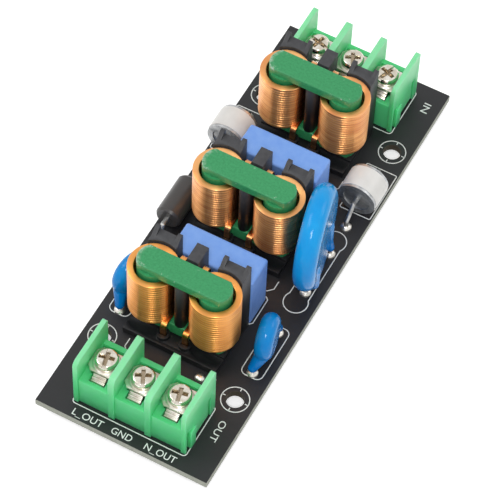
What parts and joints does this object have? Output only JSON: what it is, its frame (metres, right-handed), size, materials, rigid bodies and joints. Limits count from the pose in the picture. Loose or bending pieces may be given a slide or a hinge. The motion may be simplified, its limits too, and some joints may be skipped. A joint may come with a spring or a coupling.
{
  "type": "emi line filter",
  "caption": "Open-board mains line filter with flat-wire common-mode chokes, film and disc capacitors, a varistor, discharge tubes and barrier terminals.",
  "frame": {"origin": "centre of the four mounting holes on the underside of the board", "axes": "+Y along the board towards the input end, +Z out of the component side, +X to the right seen from the output end"},
  "size_m": [0.0368, 0.1006, 0.0256],
  "materials": {
    "board": "black solder-masked glass laminate",
    "solder": "bright solder",
    "terminal_plastic": "green moulded plastic",
    "plated_contact": "tinned contact metal",
    "screw_steel": "nickel-plated steel",
    "choke_base": "dark moulded plastic",
    "core_ferrite": "ferrite core with green epoxy paint",
    "copper_wire": "enamelled flat copper wire",
    "box_cap_case": "blue moulded plastic case",
    "box_cap_resin": "blue potting resin",
    "tinned_wire": "tinned copper wire",
    "blue_coating": "glossy dipped epoxy coating",
    "varistor_coating": "glossy dipped epoxy coating",
    "tube_ceramic": "white ceramic",
    "tube_cap": "dark nickel-plated end cap",
    "diode_body": "dark moulded epoxy"
  },
  "bodies": {
    "root": {"pcb": "board", "solder_joints": "solder", "out_terminal_housing": "terminal_plastic", "out_terminal_contacts": "plated_contact", "out_terminal_clamps": "plated_contact", "out_terminal_screws": "screw_steel", "in_terminal_housing": "terminal_plastic", "in_terminal_contacts": "plated_contact", "in_terminal_clamps": "plated_contact", "in_terminal_screws": "screw_steel", "out_choke_base": "choke_base", "out_choke_core": "core_ferrite", "out_choke_left_winding": "copper_wire", "out_choke_right_winding": "copper_wire", "middle_choke_base": "choke_base", "middle_choke_core": "core_ferrite", "middle_choke_left_winding": "copper_wire", "middle_choke_right_winding": "copper_wire", "in_choke_base": "choke_base", "in_choke_core": "core_ferrite", "in_choke_left_winding": "copper_wire", "in_choke_right_winding": "copper_wire", "out_box_capacitor_case": "box_cap_case", "out_box_capacitor_resin": "box_cap_resin", "out_box_capacitor_leads": "tinned_wire", "in_box_capacitor_case": "box_cap_case", "in_box_capacitor_resin": "box_cap_resin", "in_box_capacitor_leads": "tinned_wire", "left_disc_capacitor": "blue_coating", "left_disc_capacitor_leads": "tinned_wire", "right_disc_capacitor": "blue_coating", "right_disc_capacitor_leads": "tinned_wire", "varistor": "varistor_coating", "varistor_leads": "tinned_wire", "left_tube_ceramic": "tube_ceramic", "left_tube_caps": "tube_cap", "left_tube_leads": "tinned_wire", "right_tube_ceramic": "tube_ceramic", "right_tube_caps": "tube_cap", "right_tube_leads": "tinned_wire", "diode": "diode_body", "diode_leads": "tinned_wire"}
  },
  "joints": []
}
